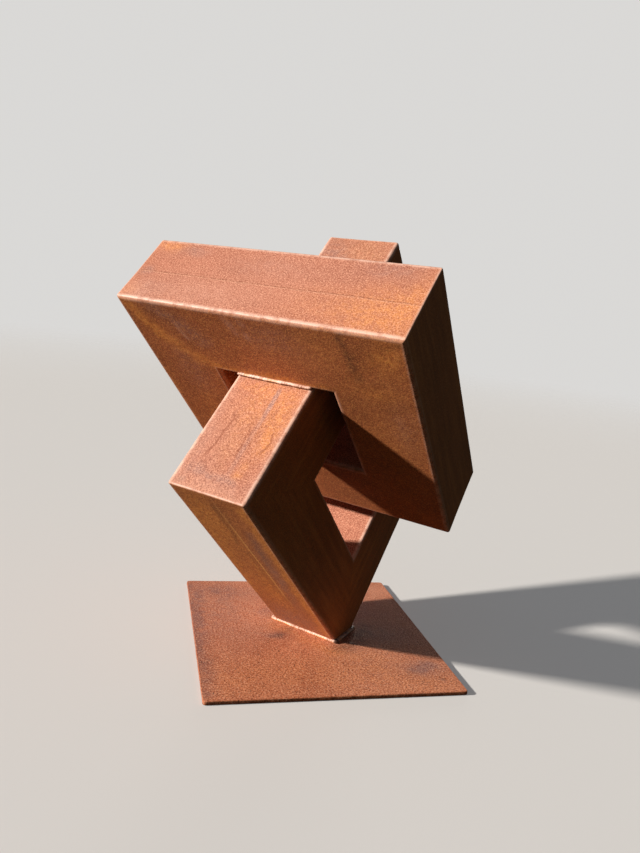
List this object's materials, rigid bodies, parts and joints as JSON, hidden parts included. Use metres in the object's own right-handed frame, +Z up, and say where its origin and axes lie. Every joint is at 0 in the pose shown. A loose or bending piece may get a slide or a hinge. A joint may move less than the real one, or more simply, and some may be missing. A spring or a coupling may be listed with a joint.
{
  "type": "abstract metal sculpture",
  "caption": "Abstract rusted-steel sculpture: linked square rings of mitred square tube, welded together and standing on a corner on a thin square base plate.",
  "frame": {"origin": "centre of the base plate's underside", "axes": "+Z up; the base plate's sides run along X and Y; -Y is the front, towards which the upper ring leans out"},
  "size_m": [0.5241, 0.541, 0.5472],
  "materials": {
    "rusted_tube": "matte rust-brown weathering patina on steel tube, grainy, with orange runs and darker stains",
    "rusted_plate": "matte red-brown rust on flat steel plate, finely pitted, purplish at the rim",
    "weld": "rippled weld bead under a thin rust film"
  },
  "bodies": {
    "root": {"base_plate": "rusted_plate", "foot_weld": "weld", "front_ring_weld": "weld", "rear_ring_weld": "weld", "lower_ring_front_upper_bar": "rusted_tube", "lower_ring_rear_upper_bar": "rusted_tube", "lower_ring_rear_lower_bar": "rusted_tube", "lower_ring_front_lower_bar": "rusted_tube", "upper_ring_top_bar": "rusted_tube", "upper_ring_left_bar": "rusted_tube", "upper_ring_bottom_bar": "rusted_tube", "upper_ring_right_bar": "rusted_tube"}
  },
  "joints": []
}
